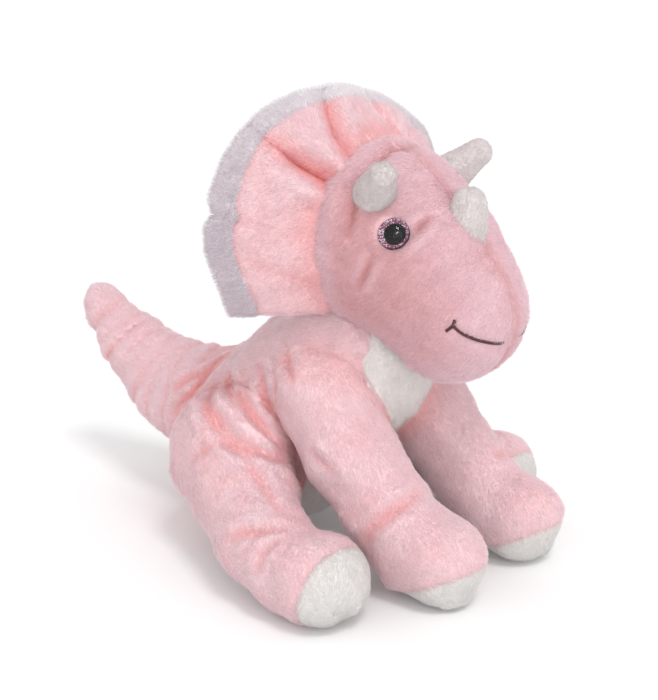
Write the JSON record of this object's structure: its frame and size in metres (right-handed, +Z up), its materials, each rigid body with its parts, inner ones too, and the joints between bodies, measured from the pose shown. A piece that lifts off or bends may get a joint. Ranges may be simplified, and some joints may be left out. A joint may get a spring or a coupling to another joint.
{
  "type": "stuffed dinosaur",
  "caption": "Plush horned dinosaur toy that sits on its rump with splayed legs, a padded neck frill, stubby horns, glitter eyes and a soft tapered tail.",
  "frame": {"origin": "on the floor, under the middle of the toy's box", "axes": "-Y is the way the toy looks, +Z is up, +X is the toy's left side"},
  "size_m": [0.22, 0.29, 0.234],
  "materials": {
    "pink_plush": "soft short pile",
    "face_plush": "soft pile, a little longer",
    "white_plush": "soft short pile",
    "horn_plush": "clipped pile",
    "stuffing": "loose fibre",
    "pouch_cloth": "plain weave",
    "pink_thread": "satin",
    "mouth_thread": "satin",
    "eye_lens": "clear and glossy",
    "eye_glitter": "glitter",
    "eye_pupil": "gloss",
    "eye_shank": "matt",
    "eye_washer": "matt"
  },
  "bodies": {
    "torso": {"torso_skin": "pink_plush", "belly_panel": "white_plush", "torso_stuffing": "stuffing", "pellet_pouch": "pouch_cloth", "closing_stitches": "pink_thread"},
    "neck": {"neck_stuffing": "stuffing"},
    "head": {"head_skin": "face_plush", "head_stuffing": "stuffing", "mouth_stitching": "mouth_thread", "frill_front_panel": "pink_plush", "frill_back_panel": "white_plush", "frill_wadding": "stuffing", "right_brow_horn": "horn_plush", "right_brow_horn_stuffing": "stuffing", "left_brow_horn": "horn_plush", "left_brow_horn_stuffing": "stuffing", "nose_horn": "horn_plush", "nose_horn_stuffing": "stuffing", "right_eye_lens": "eye_lens", "right_eye_iris": "eye_glitter", "right_eye_pupil": "eye_pupil", "right_eye_shank": "eye_shank", "right_eye_washer": "eye_washer", "left_eye_lens": "eye_lens", "left_eye_iris": "eye_glitter", "left_eye_pupil": "eye_pupil", "left_eye_shank": "eye_shank", "left_eye_washer": "eye_washer"},
    "right_front_leg": {"right_front_leg": "pink_plush", "right_front_sole": "white_plush", "right_front_stuffing": "stuffing"},
    "left_front_leg": {"left_front_leg": "pink_plush", "left_front_sole": "white_plush", "left_front_stuffing": "stuffing"},
    "right_rear_leg": {"right_rear_leg": "pink_plush", "right_rear_sole": "white_plush", "right_rear_stuffing": "stuffing"},
    "left_rear_leg": {"left_rear_leg": "pink_plush", "left_rear_sole": "white_plush", "left_rear_stuffing": "stuffing"},
    "tail": {"tail_skin": "pink_plush", "tail_stuffing": "stuffing"}
  },
  "joints": [
    {"name": "head_turn", "type": "hinge", "parent": "torso", "child": "neck", "pos_m": [0, -0.06, 0.122], "axis": [0, 0, 1], "range_deg": [-20, 20]},
    {"name": "head_nod", "type": "hinge", "parent": "neck", "child": "head", "pos_m": [0, -0.06, 0.122], "axis": [1, 0, 0], "range_deg": [-10, 8]},
    {"name": "right_front_leg_swing", "type": "hinge", "parent": "torso", "child": "right_front_leg", "pos_m": [-0.036, -0.06, 0.08], "axis": [1, 0, 0], "range_deg": [-18, 10]},
    {"name": "left_front_leg_swing", "type": "hinge", "parent": "torso", "child": "left_front_leg", "pos_m": [0.036, -0.06, 0.08], "axis": [1, 0, 0], "range_deg": [-18, 10]},
    {"name": "right_rear_leg_swing", "type": "hinge", "parent": "torso", "child": "right_rear_leg", "pos_m": [-0.046, -0.006, 0.047], "axis": [-1, 0, 0], "range_deg": [-15, 12]},
    {"name": "left_rear_leg_swing", "type": "hinge", "parent": "torso", "child": "left_rear_leg", "pos_m": [0.046, -0.006, 0.047], "axis": [-1, 0, 0], "range_deg": [-15, 12]},
    {"name": "tail_sway", "type": "hinge", "parent": "torso", "child": "tail", "pos_m": [0, 0.042, 0.06], "axis": [0, 0, 1], "range_deg": [-20, 20]}
  ]
}
